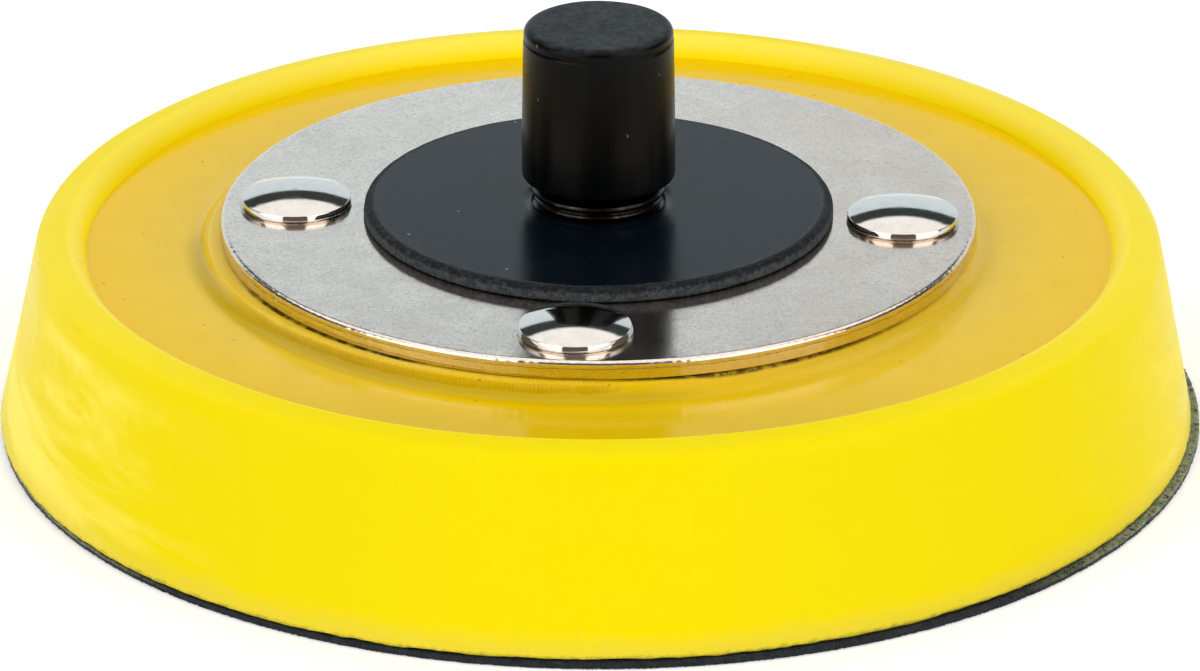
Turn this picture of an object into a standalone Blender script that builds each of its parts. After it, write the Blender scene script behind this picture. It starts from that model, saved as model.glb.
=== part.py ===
"""Hook-and-loop backing pad, 75 mm, for a small orbital sander.

A soft yellow foam body is moulded round the edge of a rigid plastic backing plate. A steel hub
plate is riveted to the backing plate with four rivets, and holds the threaded stud that screws into
the sander. A loose rubber washer lies round the foot of the stud, and a plastic cap guards its
thread. The woven hook facing is glued under the foam.

The frame: metres, +Z up along the stud, origin at the centre of the hook face, on which the pad
lies. The pieces stand at rest, with the thread cap pushed home.
"""

import math

import bmesh
import bpy

MM = 0.001

# Clearance between two pieces that lie against each other.
SEAT_GAP = 0.05 * MM
# Radial clearance of a shaft, shank or collar in its hole.
HOLE_CLEARANCE = 0.05 * MM

# Segments round the axis. Each is a multiple of four, so that every disc reaches its full size
# along X and Y; the stud's is also a multiple of six, for its hexagon.
DISC_SEGMENTS = 72
RING_SEGMENTS = 60
CAP_SEGMENTS = 40
STUD_SEGMENTS = 36
RIVET_SEGMENTS = 20
FILLET_STEPS = 3

# Hook facing and the film of adhesive above it.
FACING_RADIUS = 37.5 * MM
FACING_THICKNESS = 0.4 * MM
FACING_EDGE_ROUND = 0.1 * MM
ADHESIVE_RADIUS = 37.0 * MM
ADHESIVE_THICKNESS = 0.1 * MM

# Foam body: a cone with a raised rim round the recess that shows the backing plate.
FOAM_BASE_RADIUS = 37.35 * MM
FOAM_BASE_ROUND = 0.2 * MM
FOAM_SHOULDER_RADIUS = 34.8 * MM
FOAM_SHOULDER_Z = 12.45 * MM
FOAM_SHOULDER_ROUND = 1.1 * MM
RIM_INNER_RADIUS = 31.95 * MM
RIM_INNER_Z = 12.75 * MM
RIM_INNER_ROUND = 0.4 * MM

# Backing plate: its edge is held under the foam's rim, and its middle is a raised boss.
BACKING_RADIUS = 33.2 * MM
BACKING_BOTTOM_Z = 9.2 * MM
FLOOR_Z = 11.45 * MM
BOSS_RADIUS = 24.15 * MM
BOSS_Z = 12.35 * MM
BOSS_ROUND = 0.25 * MM

# Steel hub plate.
HUB_RADIUS = 23.47 * MM
HUB_THICKNESS = 1.15 * MM
HUB_EDGE_ROUND = 0.3 * MM

# Rubber washer round the foot of the stud: its top edge is rolled over where it was punched.
WASHER_RADIUS = 14.58 * MM
WASHER_TOP_RADIUS = 14.0 * MM
WASHER_THICKNESS = 0.85 * MM
WASHER_SIDE_HEIGHT = 0.3 * MM

# Stud: hexagon head in a pocket of the backing plate, shoulder that centres the hub plate and the
# washer, two-ridged collar, and 5/16"-24 UNF thread.
HEXAGON_ACROSS_FLATS = 12.7 * MM
HEXAGON_HEIGHT = 1.6 * MM
HEXAGON_CHAMFER = 0.25 * MM
HEXAGON_CLEARANCE = 0.1 * MM
SHOULDER_RADIUS = 4.8 * MM
SHOULDER_Z = 14.2 * MM
COLLAR_RADIUS = 4.13 * MM
COLLAR_GROOVE_DEPTH = 0.12 * MM
COLLAR_CHAMFER = 0.12 * MM
LOWER_RIDGE_Z = 14.95 * MM
COLLAR_TOP_Z = 15.5 * MM
THREAD_MAJOR_RADIUS = 7.9375 / 2 * MM
THREAD_PITCH = 25.4 / 24 * MM
THREAD_DEPTH = 0.6134 * THREAD_PITCH
THREAD_START_Z = 16.0 * MM
STUD_TIP_Z = 24.55 * MM
STUD_TIP_CHAMFER = 0.8 * MM

# Push-on cap over the thread.
CAP_BOTTOM_Z = 16.05 * MM
CAP_TOP_Z = 25.95 * MM
CAP_RADIUS = 4.76 * MM
CAP_TOP_RADIUS = 4.62 * MM
CAP_FOOT_RADIUS = 4.15 * MM
CAP_FOOT_HEIGHT = 1.15 * MM
CAP_TOP_ROUND = 0.45 * MM
CAP_TOP_THICKNESS = 1.0 * MM

# Rivets: 4 mm shank, domed head on the hub plate, tail set on a washer in a counterbore.
RIVET_CIRCLE_RADIUS = 18.9 * MM
RIVET_TURN = math.radians(-4.3)
RIVET_NAMES = ("right", "rear", "left", "front")
RIVET_SHANK_RADIUS = 2.0 * MM
RIVET_HEAD_RADIUS = 3.5 * MM
RIVET_SIDE_HEIGHT = 0.35 * MM
RIVET_DOME_HEIGHT = 0.6 * MM
DOME_STEPS = 4
TAIL_RADIUS = 2.9 * MM
TAIL_HEIGHT = 0.9 * MM
TAIL_ROUND = 0.4 * MM
RIVET_WASHER_RADIUS = 3.6 * MM
RIVET_WASHER_THICKNESS = 0.6 * MM
COUNTERBORE_DEPTH = 1.7 * MM
COUNTERBORE_CLEARANCE = 0.15 * MM
CUTTER_OVERRUN = 1.0 * MM

# Levels that follow from the dimensions above.
ADHESIVE_Z = FACING_THICKNESS + SEAT_GAP
FOAM_Z = ADHESIVE_Z + ADHESIVE_THICKNESS + SEAT_GAP
HUB_Z = BOSS_Z + SEAT_GAP
HUB_TOP_Z = HUB_Z + HUB_THICKNESS
ON_HUB_Z = HUB_TOP_Z + SEAT_GAP
WASHER_TOP_Z = ON_HUB_Z + WASHER_THICKNESS
HEXAGON_TOP_Z = HUB_Z - SEAT_GAP
HEXAGON_Z = HEXAGON_TOP_Z - HEXAGON_HEIGHT
COUNTERBORE_Z = BACKING_BOTTOM_Z + COUNTERBORE_DEPTH
RIVET_WASHER_TOP_Z = COUNTERBORE_Z - SEAT_GAP
TAIL_TOP_Z = RIVET_WASHER_TOP_Z - RIVET_WASHER_THICKNESS - SEAT_GAP
CAP_BORE_RADIUS = THREAD_MAJOR_RADIUS + HOLE_CLEARANCE


def clear_scene():
    for obj in list(bpy.data.objects):
        bpy.data.objects.remove(obj, do_unlink=True)


def make_material(name, colour, roughness, metallic=0.0):
    """A Principled material of one colour."""
    material = bpy.data.materials.new(name)
    material.use_nodes = True
    shader = material.node_tree.nodes["Principled BSDF"]
    shader.inputs["Base Color"].default_value = (*colour, 1.0)
    shader.inputs["Roughness"].default_value = roughness
    shader.inputs["Metallic"].default_value = metallic
    return material


def fillet(before, corner, after, radius):
    """The points of an arc of that radius that rounds the corner between its two neighbours."""
    ends = []
    for other in (before, after):
        length = math.hypot(other[0] - corner[0], other[1] - corner[1])
        ends.append(((other[0] - corner[0]) / length, (other[1] - corner[1]) / length))
    (ax, ay), (bx, by) = ends
    half = math.acos(max(-1.0, min(1.0, ax * bx + ay * by))) / 2
    tangent = radius / math.tan(half)
    bisector = math.hypot(ax + bx, ay + by)
    reach = radius / math.sin(half)
    centre_x = corner[0] + (ax + bx) / bisector * reach
    centre_y = corner[1] + (ay + by) / bisector * reach
    start = math.atan2(corner[1] + ay * tangent - centre_y, corner[0] + ax * tangent - centre_x)
    stop = math.atan2(corner[1] + by * tangent - centre_y, corner[0] + bx * tangent - centre_x)
    turn = (stop - start + math.pi) % (2 * math.pi) - math.pi
    angles = [start + turn * step / FILLET_STEPS for step in range(FILLET_STEPS + 1)]
    return [(centre_x + radius * math.cos(a), centre_y + radius * math.sin(a)) for a in angles]


def rounded(corners):
    """A profile of (radius, height) points from corners (radius, height, fillet radius)."""
    points = []
    for index, (r, z, radius) in enumerate(corners):
        if radius == 0.0:
            points.append((r, z))
            continue
        before = corners[index - 1]
        after = corners[(index + 1) % len(corners)]
        points += fillet(before[:2], (r, z), after[:2], radius)
    return points


def quarter_oval(inner, outer, wide_z, narrow_z):
    """The points of a quarter of an oval, from its widest level to the level where it is narrowest."""
    points = []
    for step in range(FILLET_STEPS + 1):
        angle = step / FILLET_STEPS * math.pi / 2
        r = inner + (outer - inner) * math.cos(angle)
        points.append((r, wide_z + (narrow_z - wide_z) * math.sin(angle)))
    return points


def sharp(points):
    """Corners with no fillet."""
    return [(r, z, 0.0) for r, z in points]


def finish_mesh(name, bm, material, smooth_angle=30.0):
    """Turns the bmesh into a linked object with outward faces and smooth round sides."""
    bmesh.ops.recalc_face_normals(bm, faces=bm.faces)
    mesh = bpy.data.meshes.new(name)
    bm.to_mesh(mesh)
    bm.free()
    mesh.shade_smooth()
    mesh.set_sharp_from_angle(angle=math.radians(smooth_angle))
    obj = bpy.data.objects.new(name, mesh)
    bpy.context.scene.collection.objects.link(obj)
    if material is not None:
        mesh.materials.append(material)
    return obj


def spin_profile(bm, profile, segments):
    """Spins a profile round Z. It is a closed loop, or it starts and ends on the axis."""
    verts = [bm.verts.new((r, 0.0, z)) for r, z in profile]
    edges = [bm.edges.new(pair) for pair in zip(verts, verts[1:])]
    if profile[0][0] > 0.0:
        edges.append(bm.edges.new((verts[-1], verts[0])))
    bmesh.ops.spin(
        bm, geom=verts + edges, cent=(0, 0, 0), axis=(0, 0, 1),
        angle=2 * math.pi, steps=segments, use_merge=True,
    )
    bmesh.ops.remove_doubles(bm, verts=bm.verts, dist=1e-7)


def turned(name, corners, segments, material):
    """A turned piece from its corners (radius, height, fillet radius)."""
    bm = bmesh.new()
    spin_profile(bm, rounded(corners), segments)
    return finish_mesh(name, bm, material)


def cut(obj, cutter):
    """Takes the cutter's shape out of obj."""
    cutter.hide_render = True
    cutter.display_type = "WIRE"
    modifier = obj.modifiers.new("cut " + cutter.name, "BOOLEAN")
    modifier.operation = "DIFFERENCE"
    modifier.object = cutter


def rivet_places():
    """The name and the centre of each rivet on its circle."""
    for index, name in enumerate(RIVET_NAMES):
        angle = RIVET_TURN + index * math.pi / 2
        yield name, RIVET_CIRCLE_RADIUS * math.cos(angle), RIVET_CIRCLE_RADIUS * math.sin(angle)


def make_hook_facing(material):
    top = FACING_THICKNESS
    corners = [
        (0.0, 0.0, 0.0),
        (FACING_RADIUS, 0.0, FACING_EDGE_ROUND),
        (FACING_RADIUS, top, FACING_EDGE_ROUND),
        (0.0, top, 0.0),
    ]
    return turned("hook_facing", corners, DISC_SEGMENTS, material)


def make_facing_adhesive(material):
    top = ADHESIVE_Z + ADHESIVE_THICKNESS
    corners = sharp([(0.0, ADHESIVE_Z), (ADHESIVE_RADIUS, ADHESIVE_Z), (ADHESIVE_RADIUS, top), (0.0, top)])
    return turned("facing_adhesive", corners, DISC_SEGMENTS, material)


def make_foam_body(material):
    """The cone with its rim. The backing plate's edge lies in the undercut below the rim."""
    seat_radius = BACKING_RADIUS + SEAT_GAP
    seat_bottom = BACKING_BOTTOM_Z - SEAT_GAP
    lip_bottom = FLOOR_Z + SEAT_GAP
    corners = [
        (0.0, FOAM_Z, 0.0),
        (FOAM_BASE_RADIUS, FOAM_Z, FOAM_BASE_ROUND),
        (FOAM_SHOULDER_RADIUS, FOAM_SHOULDER_Z, FOAM_SHOULDER_ROUND),
        (RIM_INNER_RADIUS, RIM_INNER_Z, RIM_INNER_ROUND),
        (RIM_INNER_RADIUS, lip_bottom, 0.0),
        (seat_radius, lip_bottom, 0.0),
        (seat_radius, seat_bottom, 0.0),
        (0.0, seat_bottom, 0.0),
    ]
    return turned("foam_body", corners, DISC_SEGMENTS, material)


def make_backing_plate(material, rivet_cutter, hexagon_cutter):
    corners = [
        (0.0, BACKING_BOTTOM_Z, 0.0),
        (BACKING_RADIUS, BACKING_BOTTOM_Z, 0.0),
        (BACKING_RADIUS, FLOOR_Z, 0.0),
        (BOSS_RADIUS, FLOOR_Z, BOSS_ROUND),
        (BOSS_RADIUS, BOSS_Z, BOSS_ROUND),
        (0.0, BOSS_Z, 0.0),
    ]
    plate = turned("backing_plate", corners, DISC_SEGMENTS, material)
    cut(plate, rivet_cutter)
    cut(plate, hexagon_cutter)
    return plate


def make_hub_plate(material, rivet_cutter):
    bore = SHOULDER_RADIUS + HOLE_CLEARANCE
    corners = [
        (bore, HUB_Z, 0.0),
        (HUB_RADIUS, HUB_Z, 0.0),
        (HUB_RADIUS, HUB_TOP_Z, HUB_EDGE_ROUND),
        (bore, HUB_TOP_Z, 0.0),
    ]
    plate = turned("hub_plate", corners, DISC_SEGMENTS, material)
    cut(plate, rivet_cutter)
    return plate


def make_friction_washer(material):
    bore = SHOULDER_RADIUS + HOLE_CLEARANCE
    rolled = quarter_oval(WASHER_TOP_RADIUS, WASHER_RADIUS, ON_HUB_Z + WASHER_SIDE_HEIGHT, WASHER_TOP_Z)
    corners = sharp([(bore, ON_HUB_Z), (WASHER_RADIUS, ON_HUB_Z), *rolled, (bore, WASHER_TOP_Z)])
    return turned("friction_washer", corners, RING_SEGMENTS, material)


def make_thread_cap(material):
    inner_top = CAP_TOP_Z - CAP_TOP_THICKNESS
    foot = quarter_oval(CAP_FOOT_RADIUS, CAP_RADIUS, CAP_BOTTOM_Z + CAP_FOOT_HEIGHT, CAP_BOTTOM_Z)
    corners = [
        (CAP_BORE_RADIUS, CAP_BOTTOM_Z, 0.0),
        *sharp(foot[::-1]),
        (CAP_TOP_RADIUS, CAP_TOP_Z, CAP_TOP_ROUND),
        (0.0, CAP_TOP_Z, 0.0),
        (0.0, inner_top, 0.0),
        (CAP_BORE_RADIUS, inner_top, 0.0),
    ]
    points = rounded(corners)
    # The spin needs both ends of the profile on the axis, so it starts inside the cap.
    first_inner = points.index((0.0, inner_top))
    bm = bmesh.new()
    spin_profile(bm, points[first_inner:] + points[:first_inner], CAP_SEGMENTS)
    return finish_mesh("thread_cap", bm, material)


def rivet_profile():
    """From the underside of the set tail up to the crown of the domed head."""
    tail_bottom = TAIL_TOP_Z - TAIL_HEIGHT
    head_side = ON_HUB_Z + RIVET_SIDE_HEIGHT
    ball_radius = (RIVET_HEAD_RADIUS**2 + RIVET_DOME_HEIGHT**2) / (2 * RIVET_DOME_HEIGHT)
    ball_centre = head_side + RIVET_DOME_HEIGHT - ball_radius
    dome = []
    for step in range(DOME_STEPS):
        r = RIVET_HEAD_RADIUS * (1 - step / DOME_STEPS)
        dome.append((r, ball_centre + math.sqrt(ball_radius**2 - r**2)))
    return rounded([
        (0.0, tail_bottom, 0.0),
        (TAIL_RADIUS, tail_bottom, TAIL_ROUND),
        (TAIL_RADIUS, TAIL_TOP_Z, 0.0),
        (RIVET_SHANK_RADIUS, TAIL_TOP_Z, 0.0),
        (RIVET_SHANK_RADIUS, ON_HUB_Z, 0.0),
        (RIVET_HEAD_RADIUS, ON_HUB_Z, 0.0),
        *sharp(dome),
        (0.0, head_side + RIVET_DOME_HEIGHT, 0.0),
    ])


def make_rivets(material):
    bm = bmesh.new()
    spin_profile(bm, rivet_profile(), RIVET_SEGMENTS)
    first = finish_mesh("rivet_" + RIVET_NAMES[0], bm, material)
    for name, x, y in rivet_places():
        rivet = first
        if name != RIVET_NAMES[0]:
            rivet = bpy.data.objects.new("rivet_" + name, first.data)
            bpy.context.scene.collection.objects.link(rivet)
        rivet.location = (x, y, 0.0)


def make_rivet_washers(material):
    bottom = RIVET_WASHER_TOP_Z - RIVET_WASHER_THICKNESS
    bore = RIVET_SHANK_RADIUS + HOLE_CLEARANCE
    corners = sharp([
        (bore, bottom),
        (RIVET_WASHER_RADIUS, bottom),
        (RIVET_WASHER_RADIUS, RIVET_WASHER_TOP_Z),
        (bore, RIVET_WASHER_TOP_Z),
    ])
    for name, x, y in rivet_places():
        washer = turned("rivet_washer_" + name, corners, RIVET_SEGMENTS, material)
        washer.location = (x, y, 0.0)


def make_rivet_cutter():
    """Four stepped holes: the shank's hole from the top, and the tail's counterbore below."""
    shank = RIVET_SHANK_RADIUS + HOLE_CLEARANCE
    bore = RIVET_WASHER_RADIUS + COUNTERBORE_CLEARANCE
    low, high = BACKING_BOTTOM_Z - CUTTER_OVERRUN, HUB_TOP_Z + CUTTER_OVERRUN
    profile = [(0.0, low), (bore, low), (bore, COUNTERBORE_Z)]
    profile += [(shank, COUNTERBORE_Z), (shank, high), (0.0, high)]
    bm = bmesh.new()
    for _, x, y in rivet_places():
        known = set(bm.verts)
        one = bmesh.new()
        spin_profile(one, profile, RIVET_SEGMENTS)
        mesh = bpy.data.meshes.new("one rivet hole")
        one.to_mesh(mesh)
        one.free()
        bm.from_mesh(mesh)
        bpy.data.meshes.remove(mesh)
        bmesh.ops.translate(bm, verts=[v for v in bm.verts if v not in known], vec=(x, y, 0.0))
    return finish_mesh("rivet_hole_cutter", bm, None)


def hexagon_radius(angle, across_flats):
    """Distance from the axis to the hexagon's side in that direction."""
    return across_flats / 2 / math.cos((angle + math.pi / 6) % (math.pi / 3) - math.pi / 6)


def make_hexagon_cutter():
    """The pocket that keeps the stud's head from turning."""
    corner_radius = (HEXAGON_ACROSS_FLATS + 2 * HEXAGON_CLEARANCE) / math.sqrt(3)
    corners = []
    for index in range(6):
        angle = math.radians(30 + 60 * index)
        corners.append((corner_radius * math.cos(angle), corner_radius * math.sin(angle)))
    bm = bmesh.new()
    floor = [bm.verts.new((x, y, HEXAGON_Z - SEAT_GAP)) for x, y in corners]
    roof = [bm.verts.new((x, y, HUB_Z + CUTTER_OVERRUN)) for x, y in corners]
    bm.faces.new(floor[::-1])
    bm.faces.new(roof)
    for index in range(6):
        after = (index + 1) % 6
        bm.faces.new((floor[index], floor[after], roof[after], roof[index]))
    return finish_mesh("hexagon_cutter", bm, None)


def stud_foot_rows():
    """Rows (radius or None for the hexagon, height, inset) from the head's underside to the thread."""
    groove_radius = COLLAR_RADIUS - COLLAR_GROOVE_DEPTH
    root_radius = THREAD_MAJOR_RADIUS - THREAD_DEPTH
    groove_z = LOWER_RIDGE_Z + COLLAR_CHAMFER
    return [
        (None, HEXAGON_Z, HEXAGON_CHAMFER),
        (None, HEXAGON_Z + HEXAGON_CHAMFER, 0.0),
        (None, HEXAGON_TOP_Z, 0.0),
        (SHOULDER_RADIUS, HEXAGON_TOP_Z, 0.0),
        (SHOULDER_RADIUS, SHOULDER_Z, 0.0),
        (COLLAR_RADIUS, SHOULDER_Z, 0.0),
        (COLLAR_RADIUS, LOWER_RIDGE_Z, 0.0),
        (groove_radius, groove_z, 0.0),
        (COLLAR_RADIUS, groove_z + COLLAR_CHAMFER, 0.0),
        (COLLAR_RADIUS, COLLAR_TOP_Z - COLLAR_CHAMFER, 0.0),
        (COLLAR_RADIUS - COLLAR_CHAMFER, COLLAR_TOP_Z, 0.0),
        (root_radius, COLLAR_TOP_Z, 0.0),
    ]


def thread_radius(z, share):
    """The thread's radius: share 1 is the crest and 0 the root, and both ends run down to the root."""
    root = THREAD_MAJOR_RADIUS - THREAD_DEPTH
    run_out = min(z - THREAD_START_Z, STUD_TIP_Z - z) * THREAD_DEPTH / STUD_TIP_CHAMFER
    return root + max(0.0, min(share * THREAD_DEPTH, run_out))


def stud_columns():
    """For each direction round the stud, its points from the head's underside to the tip."""
    flank = THREAD_DEPTH * math.tan(math.radians(30)) / THREAD_PITCH
    crest = 1 / 8
    corners = ((0.0, 1.0), (crest, 1.0), (crest + flank, 0.0), (1.0 - flank, 0.0))
    turns = math.ceil((STUD_TIP_Z - THREAD_START_Z) / THREAD_PITCH) + 2
    columns = []
    for index in range(STUD_SEGMENTS):
        part = index / STUD_SEGMENTS
        angle = 2 * math.pi * part
        column = []
        for radius, z, inset in stud_foot_rows():
            r = hexagon_radius(angle, HEXAGON_ACROSS_FLATS) - inset if radius is None else radius
            column.append((r * math.cos(angle), r * math.sin(angle), z))
        for turn in range(turns):
            for phase, share in corners:
                z = THREAD_START_Z + THREAD_PITCH * (turn - 1 + part + phase)
                z = max(THREAD_START_Z, min(STUD_TIP_Z, z))
                r = thread_radius(z, share)
                column.append((r * math.cos(angle), r * math.sin(angle), z))
        columns.append(column)
    return columns, len(stud_foot_rows()), len(corners)


def make_stud(material):
    """Quads between neighbouring columns. Over the seam, a thread row meets the one a turn above."""
    columns, foot_rows, rows_a_turn = stud_columns()
    bm = bmesh.new()
    known = {}

    def vertex(column, row):
        point = columns[column][min(row, len(columns[column]) - 1)]
        key = tuple(round(value / 1e-8) for value in point)
        if key not in known:
            known[key] = bm.verts.new(point)
        return known[key]

    def face(corners):
        corners = list(dict.fromkeys(corners))
        if len(corners) > 2 and not bm.faces.get(corners):
            bm.faces.new(corners)

    last_row = len(columns[0]) - 1
    for column in range(STUD_SEGMENTS):
        following = (column + 1) % STUD_SEGMENTS
        for row in range(last_row):
            step = rows_a_turn if following == 0 and row >= foot_rows else 0
            upper_step = rows_a_turn if following == 0 and row + 1 >= foot_rows else 0
            face([
                vertex(column, row), vertex(following, row + step),
                vertex(following, row + 1 + upper_step), vertex(column, row + 1),
            ])
    bm.faces.new([vertex(column, 0) for column in range(STUD_SEGMENTS)])
    bm.faces.new([vertex(column, last_row) for column in range(STUD_SEGMENTS)])
    return finish_mesh("threaded_stud", bm, material)


def main():
    clear_scene()
    yellow_foam = make_material("yellow foam", (0.93, 0.76, 0.01), 0.45)
    backing_plastic = make_material("backing plastic", (0.78, 0.52, 0.03), 0.2)
    hook_fabric = make_material("hook fabric", (0.02, 0.025, 0.025), 0.9)
    adhesive = make_material("adhesive", (0.45, 0.38, 0.1), 0.5)
    plate_steel = make_material("plate steel", (0.62, 0.61, 0.59), 0.35, 1.0)
    rivet_nickel = make_material("rivet nickel", (0.75, 0.73, 0.7), 0.08, 1.0)
    stud_steel = make_material("stud steel", (0.2, 0.18, 0.16), 0.3, 1.0)
    black_rubber = make_material("black rubber", (0.02, 0.025, 0.03), 0.5)
    cap_plastic = make_material("cap plastic", (0.01, 0.01, 0.012), 0.4)

    rivet_cutter = make_rivet_cutter()
    hexagon_cutter = make_hexagon_cutter()
    make_hook_facing(hook_fabric)
    make_facing_adhesive(adhesive)
    make_foam_body(yellow_foam)
    make_backing_plate(backing_plastic, rivet_cutter, hexagon_cutter)
    make_hub_plate(plate_steel, rivet_cutter)
    make_rivets(rivet_nickel)
    make_rivet_washers(plate_steel)
    make_stud(stud_steel)
    make_friction_washer(black_rubber)
    make_thread_cap(cap_plastic)


main()
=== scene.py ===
"""The looks of a 75 mm hook-and-loop backing pad for a small orbital sander, in a white studio.

Each outer piece is turned or grown in mesh code to the size of its CAD node, with the fillets,
burrs, mould marks and fibres that the solid leaves out. Lengths are in millimetres, apart from the
floor's and the camera's: mesh_object turns them into metres, and the materials turn the metres of
the place that they read back into millimetres.
"""
import math

import bmesh
import bpy
import numpy as np
from mathutils import Matrix, Vector, noise


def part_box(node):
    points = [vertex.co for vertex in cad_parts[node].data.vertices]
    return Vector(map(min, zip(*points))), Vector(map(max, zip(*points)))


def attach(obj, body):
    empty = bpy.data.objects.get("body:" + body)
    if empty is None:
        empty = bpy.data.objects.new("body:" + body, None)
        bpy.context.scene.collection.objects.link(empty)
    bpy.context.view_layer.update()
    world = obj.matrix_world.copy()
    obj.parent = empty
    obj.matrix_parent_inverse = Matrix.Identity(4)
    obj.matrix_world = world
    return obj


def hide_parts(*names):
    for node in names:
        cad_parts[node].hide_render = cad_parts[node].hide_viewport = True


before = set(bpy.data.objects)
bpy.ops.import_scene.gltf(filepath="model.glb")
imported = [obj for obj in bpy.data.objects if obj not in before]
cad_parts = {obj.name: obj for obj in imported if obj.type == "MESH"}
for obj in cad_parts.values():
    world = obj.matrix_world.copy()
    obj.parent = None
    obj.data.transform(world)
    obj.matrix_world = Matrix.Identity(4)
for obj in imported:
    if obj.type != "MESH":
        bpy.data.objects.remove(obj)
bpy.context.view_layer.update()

MM = 0.001
TURN = 2 * math.pi
# Indices of refraction: the polarised studio light takes gleam off the real 1.5.
SEALED_IOR = 1.25
AMBER_IOR = 1.22
CAP_IOR = 1.2
FOAM_IOR = 1.12


def node_box(node):
    """A CAD node's lowest and highest corner, in millimetres."""
    low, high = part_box(node)
    return low / MM, high / MM


def node_span(node):
    """A round CAD node's greatest radius, lowest level and highest level, in millimetres."""
    low, high = node_box(node)
    return (high.x - low.x) / 2, low.z, high.z


# ---- shapes

def wave(x, y, z, scale, seed):
    """Smooth noise from -1 to 1 at a point in millimetres; scale is in waves per millimetre."""
    return noise.noise(Vector((x * scale + seed * 17.3, y * scale - seed * 5.1, z * scale + seed * 9.7)))


def clamp(value):
    """The value, held between 0 and 1."""
    return max(0.0, min(1.0, value))


def ease(value):
    """Smoothly from 0 to 1 while the value goes from 0 to 1, and held there beyond."""
    share = clamp(value)
    return share * share * (3 - 2 * share)


def azimuth_of(x, y):
    """A point's direction from the Z axis in degrees: 0 at the front, 90 at the right."""
    return math.degrees(math.atan2(x, -y))


def quarter_turn(steps):
    """Angles from 0 to a right angle in equal steps, both ends included."""
    return [step / steps * math.pi / 2 for step in range(steps + 1)]


def fillet(before, corner, after, radius, steps):
    """The points of an arc of that radius that rounds the corner between its two neighbours."""
    ends = []
    for other in (before, after):
        length = math.hypot(other[0] - corner[0], other[1] - corner[1])
        ends.append(((other[0] - corner[0]) / length, (other[1] - corner[1]) / length))
    (ax, ay), (bx, by) = ends
    half = math.acos(max(-1.0, min(1.0, ax * bx + ay * by))) / 2
    reach = radius / math.sin(half)
    bisector = math.hypot(ax + bx, ay + by)
    centre = (corner[0] + (ax + bx) / bisector * reach, corner[1] + (ay + by) / bisector * reach)
    tangent = radius / math.tan(half)
    angles = [
        math.atan2(corner[1] + y * tangent - centre[1], corner[0] + x * tangent - centre[0])
        for x, y in ends
    ]
    turn = (angles[1] - angles[0] + math.pi) % TURN - math.pi
    points = []
    for step in range(steps + 1):
        angle = angles[0] + turn * step / steps
        points.append((centre[0] + radius * math.cos(angle), centre[1] + radius * math.sin(angle)))
    return points


def outline(corners, longest=1.5, steps=6):
    """A profile from corners (radius, height, fillet radius), with no side longer than longest."""
    points = []
    for index, (r, z, radius) in enumerate(corners):
        if radius == 0.0:
            points.append((r, z))
            continue
        after = corners[(index + 1) % len(corners)]
        points += fillet(corners[index - 1][:2], (r, z), after[:2], radius, steps)
    closed = points[0][0] > 0.0
    dense = []
    for index, point in enumerate(points):
        dense.append(point)
        if index + 1 == len(points) and not closed:
            break
        after = points[(index + 1) % len(points)]
        parts = math.ceil(math.hypot(after[0] - point[0], after[1] - point[1]) / longest)
        for part in range(1, parts):
            share = part / parts
            dense.append((
                point[0] + (after[0] - point[0]) * share,
                point[1] + (after[1] - point[1]) * share,
            ))
    return dense


def mesh_object(name, verts, faces, smooth_angle=40.0):
    """An object of smooth faces from points in millimetres, with its normals outwards."""
    mesh = bpy.data.meshes.new(name)
    mesh.from_pydata((np.asarray(verts, float) * MM).tolist(), [], faces)
    bm = bmesh.new()
    bm.from_mesh(mesh)
    bmesh.ops.recalc_face_normals(bm, faces=bm.faces)
    bm.to_mesh(mesh)
    bm.free()
    mesh.shade_smooth()
    mesh.set_sharp_from_angle(angle=math.radians(smooth_angle))
    obj = bpy.data.objects.new(name, mesh)
    bpy.context.scene.collection.objects.link(obj)
    return obj


def lathe(name, profile, segments, shift=None):
    """Turns a profile round Z. It is a closed loop, or it starts and ends on the axis.

    shift(x, y, r, z) gives how far a point moves outwards and upwards.
    """
    verts, rings = [], []
    for r, z in profile:
        if r < 1e-6:
            rings.append([len(verts)] * segments)
            verts.append((0.0, 0.0, z))
            continue
        rings.append(list(range(len(verts), len(verts) + segments)))
        for index in range(segments):
            angle = TURN * index / segments
            c, s = math.cos(angle), math.sin(angle)
            out, up = shift(r * c, r * s, r, z) if shift else (0.0, 0.0)
            verts.append(((r + out) * c, (r + out) * s, z + up))
    faces = []
    count = len(rings) if profile[0][0] > 0.0 else len(rings) - 1
    for level in range(count):
        lower, upper = rings[level], rings[(level + 1) % len(rings)]
        for index in range(segments):
            after = (index + 1) % segments
            face = list(dict.fromkeys((lower[index], lower[after], upper[after], upper[index])))
            if len(face) > 2:
                faces.append(face)
    return mesh_object(name, verts, faces)


def drill(obj, cutters):
    """Takes the cutters' shapes out of obj for good, and removes the cutters."""
    for cutter in cutters:
        modifier = obj.modifiers.new("drill", "BOOLEAN")
        modifier.operation = "DIFFERENCE"
        modifier.solver = "EXACT"
        modifier.object = cutter
    evaluated = obj.evaluated_get(bpy.context.evaluated_depsgraph_get())
    mesh = bpy.data.meshes.new_from_object(evaluated)
    obj.modifiers.clear()
    obj.data = mesh
    for cutter in cutters:
        bpy.data.objects.remove(cutter)


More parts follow.
